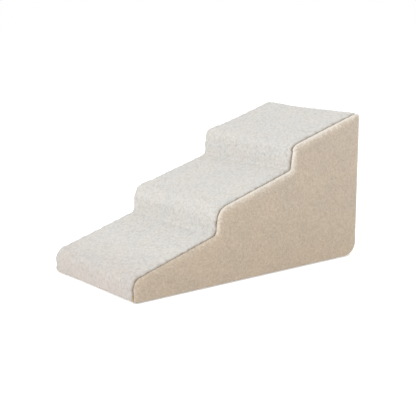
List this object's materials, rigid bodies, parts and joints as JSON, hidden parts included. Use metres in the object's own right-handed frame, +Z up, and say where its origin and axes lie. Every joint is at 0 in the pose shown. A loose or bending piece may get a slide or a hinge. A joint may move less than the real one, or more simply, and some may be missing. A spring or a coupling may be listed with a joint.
{
  "type": "pet ramp",
  "caption": "Foam ramp for a small pet: a stepped block of sloping treads in a plush cover, which unzips at the back so it can be washed.",
  "frame": {"origin": "on the floor, under the middle of the block", "axes": "+X from the low front lip towards the tall back, +Y towards the left of a dog walking up, +Z up"},
  "size_m": [0.7528, 0.375, 0.3999],
  "materials": {
    "plush_white": "short curly plush pile",
    "teddy_beige": "short dense teddy pile",
    "base_cloth": "plain woven cloth",
    "grip_rubber": "matt, dotted",
    "foam_firm": "open-cell foam, firm",
    "foam_soft": "open-cell foam, soft",
    "liner_cloth": "thin non-woven cloth",
    "seam_thread": "twisted sewing thread",
    "zip_tape": "woven tape",
    "zip_nylon": "coil zip teeth",
    "zip_metal": "cast, painted to match the cover",
    "label_satin": "blank satin"
  },
  "bodies": {
    "ramp": {"foam_base_slab": "foam_firm", "foam_middle_slab": "foam_firm", "foam_top_slab": "foam_firm", "comfort_foam": "foam_soft", "liner_bag": "liner_cloth", "liner_flap": "liner_cloth", "tread_panel": "plush_white", "right_side_panel": "teddy_beige", "left_side_panel": "teddy_beige", "back_panel": "teddy_beige", "back_strip": "teddy_beige", "base_panel": "base_cloth", "grip_sheet": "grip_rubber", "right_seam_thread": "seam_thread", "left_seam_thread": "seam_thread", "top_seam_thread": "seam_thread", "front_seam_thread": "seam_thread", "base_seam_thread": "seam_thread", "care_label": "label_satin", "zip_tape_upper": "zip_tape", "zip_tape_lower": "zip_tape", "zip_teeth_upper": "zip_nylon", "zip_teeth_lower": "zip_nylon", "zip_top_stop_upper": "zip_metal", "zip_top_stop_lower": "zip_metal", "zip_bottom_stop": "zip_metal"},
    "slider": {"zip_slider": "zip_metal", "slider_crown": "zip_metal"},
    "pull": {"zip_pull": "zip_metal"}
  },
  "joints": [
    {"name": "zip_slide", "type": "slide", "parent": "ramp", "child": "slider", "axis": [0, -1, 0], "range_m": [0, 0.317]},
    {"name": "zip_pull_hinge", "type": "hinge", "parent": "slider", "child": "pull", "pos_m": [0.3759, 0.1587, 0.065], "axis": [0, 0, 1], "range_deg": [0, 180]}
  ]
}
